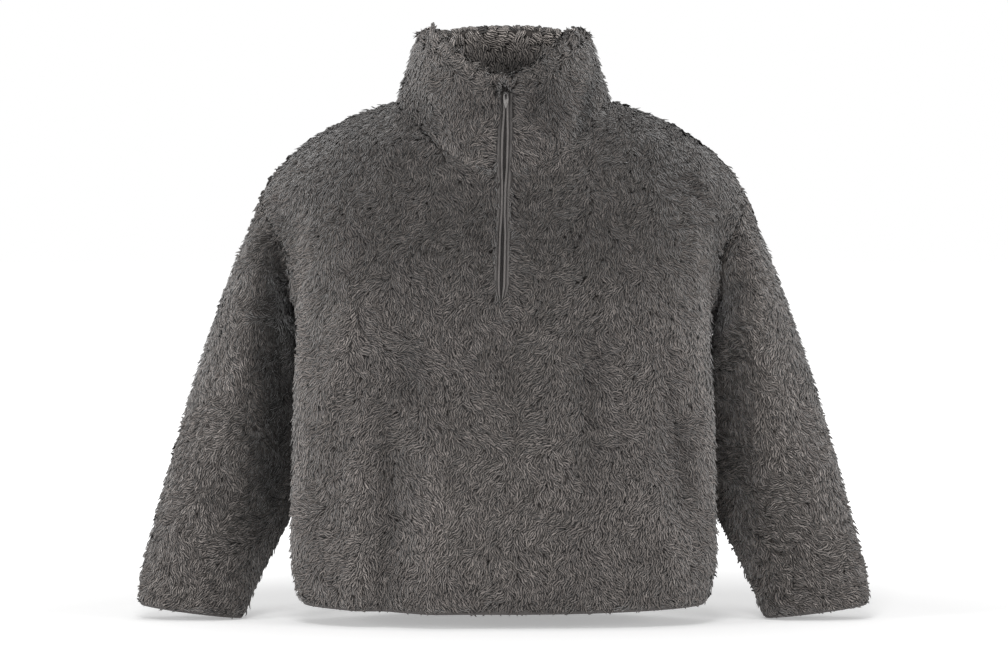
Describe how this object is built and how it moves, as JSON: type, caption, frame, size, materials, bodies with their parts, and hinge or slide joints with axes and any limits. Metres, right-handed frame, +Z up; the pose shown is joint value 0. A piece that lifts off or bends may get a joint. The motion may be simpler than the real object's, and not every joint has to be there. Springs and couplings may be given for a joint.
{
  "type": "half-zip fleece pullover",
  "caption": "Fluffy long-pile fleece pullover with a standing collar, a half zip with a drop-shaped pull, dropped sleeves and bound cuffs and hem, filled out as worn.",
  "frame": {"origin": "middle of the neck at the height of the shoulder points, where the wearer's shoulders hold the garment", "axes": "+Z up, the front of the garment towards -Y, +X towards the right of a viewer in front of it"},
  "size_m": [0.86, 0.2264, 0.7039],
  "materials": {
    "fleece": "fluffy warm grey pile with short wavy locks",
    "binding": "smooth dark grey knitted binding",
    "zip_tape": "smooth grey woven tape",
    "zip_metal": "satin dark grey enamel"
  },
  "bodies": {
    "garment": {"front": "fleece", "back": "fleece", "sleeve_left": "fleece", "sleeve_right": "fleece", "collar": "fleece", "hem_binding": "binding", "cuff_binding_left": "binding", "cuff_binding_right": "binding", "zip_tape_left": "zip_tape", "zip_tape_right": "zip_tape", "zip_coil": "zip_tape", "zip_slider": "zip_metal"},
    "pull": {"zip_pull": "zip_metal"}
  },
  "joints": [
    {"name": "pull_hinge", "type": "hinge", "parent": "garment", "child": "pull", "pos_m": [0.0024, -0.09382, 0.01347], "axis": [-1, 0, 0], "range_deg": [0, 150]}
  ]
}
